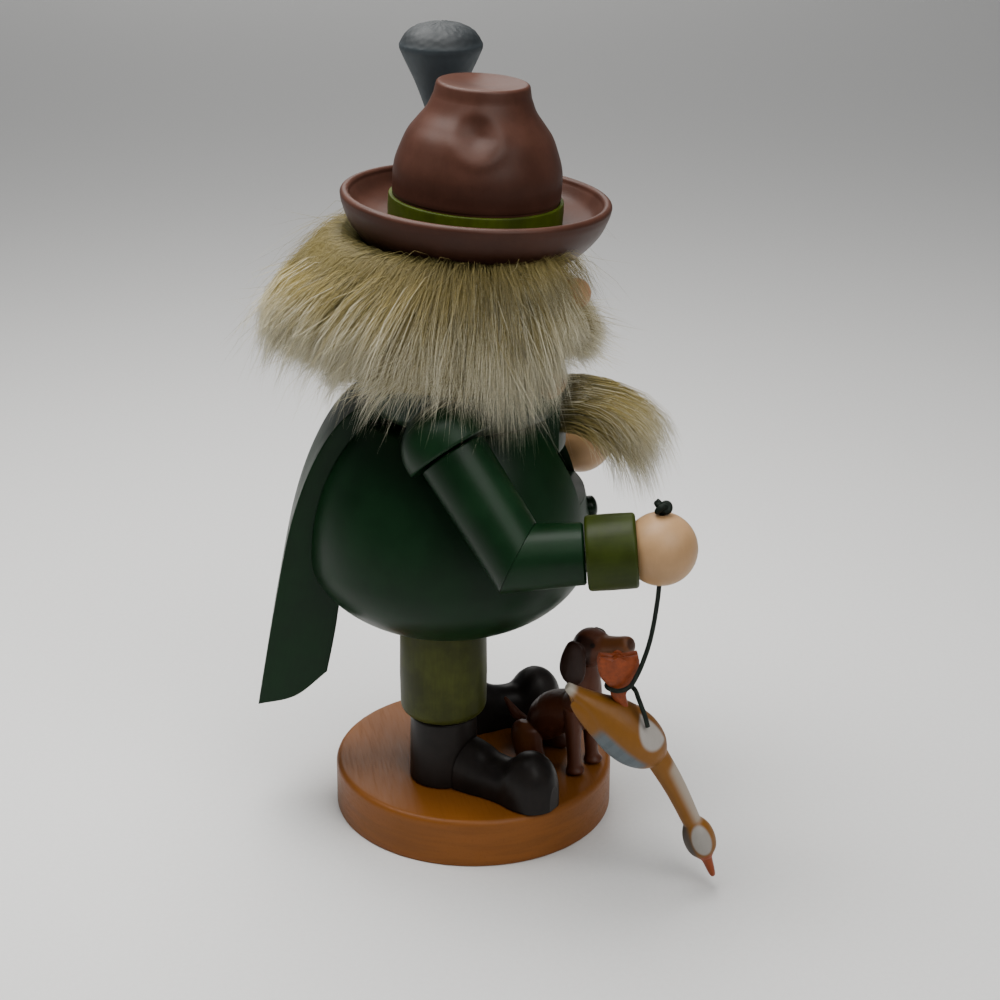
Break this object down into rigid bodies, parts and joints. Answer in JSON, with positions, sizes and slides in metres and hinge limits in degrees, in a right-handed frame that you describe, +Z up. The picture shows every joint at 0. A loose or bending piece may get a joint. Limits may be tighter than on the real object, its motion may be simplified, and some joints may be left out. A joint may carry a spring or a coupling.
{
  "type": "nutcracker figure",
  "caption": "Wooden hunter nutcracker on a round base: fur hair and beard, a brimmed hat, a jaw worked by the coat tail lever, a sitting hound and a bird hung by its feet on a cord.",
  "frame": {"origin": "centre of the round base's underside", "axes": "+Z up the figure, -Y the way the face looks, -X the figure's right side, which holds the cord"},
  "size_m": [0.1023, 0.1105, 0.1938],
  "materials": {
    "base": "orange-brown stained and varnished",
    "boot_black": "black-brown lacquer, satin",
    "breeches_olive": "olive stain with visible grain, satin",
    "coat_green": "dark green lacquer, satin",
    "cuff_olive": "olive lacquer, satin",
    "skin_lacquer": "pale skin-tone lacquer, satin",
    "nose_lacquer": "rosy skin-tone lacquer, satin",
    "hat_brown": "red-brown lacquer, satin",
    "band_olive": "olive ribbon",
    "tuft_blue": "blue-grey lacquer, satin",
    "plain_wood": "bare beech",
    "steel_pin": "plain wire",
    "fur": "tan fur with whitish tips",
    "cord": "dark green waxed cord",
    "bird_paint": "painted ochre, white, blue-grey",
    "bird_orange": "painted orange",
    "dog_paint": "painted chestnut brown"
  },
  "bodies": {
    "figure": {"base": "base", "body": "coat_green", "dog_body": "dog_paint", "dog_head": "dog_paint", "dog_left_ear": "dog_paint", "dog_left_front_leg": "dog_paint", "dog_left_hind_leg": "dog_paint", "dog_right_ear": "dog_paint", "dog_right_front_leg": "dog_paint", "dog_right_hind_leg": "dog_paint", "dog_tail": "dog_paint", "hair": "fur", "hat_band": "band_olive", "hat_brim": "hat_brown", "hat_crown": "hat_brown", "hat_dowel": "plain_wood", "hat_tuft": "tuft_blue", "head": "skin_lacquer", "left_arm_dowel": "plain_wood", "left_boot_shaft": "boot_black", "left_breeches_leg": "breeches_olive", "left_cuff": "cuff_olive", "left_forearm": "coat_green", "left_hand": "skin_lacquer", "left_leg_dowel": "plain_wood", "left_neck_dowel": "plain_wood", "left_shoe": "boot_black", "left_shoulder_cap": "coat_green", "left_upper_arm": "coat_green", "lever_pin": "steel_pin", "lower_coat_button": "coat_green", "moustache": "fur", "nose": "nose_lacquer", "right_arm_dowel": "plain_wood", "right_boot_shaft": "boot_black", "right_breeches_leg": "breeches_olive", "right_cuff": "cuff_olive", "right_forearm": "coat_green", "right_hand": "skin_lacquer", "right_leg_dowel": "plain_wood", "right_neck_dowel": "plain_wood", "right_shoe": "boot_black", "right_shoulder_cap": "coat_green", "right_upper_arm": "coat_green", "upper_coat_button": "coat_green"},
    "jaw_lever": {"coat_tail_lever": "coat_green", "jaw": "skin_lacquer", "beard": "fur"},
    "cord_top": {"cord_knot": "cord"},
    "hanging_bird": {"hanging_cord": "cord", "bird_body": "bird_paint", "bird_neck": "bird_paint", "bird_head": "bird_paint", "bird_right_foot": "bird_orange", "bird_left_foot": "bird_orange"}
  },
  "joints": [
    {"name": "jaw_lever_hinge", "type": "hinge", "parent": "figure", "child": "jaw_lever", "pos_m": [0, 0.009, 0.1], "axis": [1, 0, 0], "range_deg": [0, 20]},
    {"name": "cord_turn", "type": "hinge", "parent": "figure", "child": "cord_top", "pos_m": [-0.04401, -0.04082, 0.08818], "axis": [0, 0, 1], "range_deg": [-90, 90]},
    {"name": "bird_swing", "type": "hinge", "parent": "cord_top", "child": "hanging_bird", "pos_m": [-0.04401, -0.04082, 0.07978], "axis": [1, 0, 0], "range_deg": [-12, 12]}
  ]
}
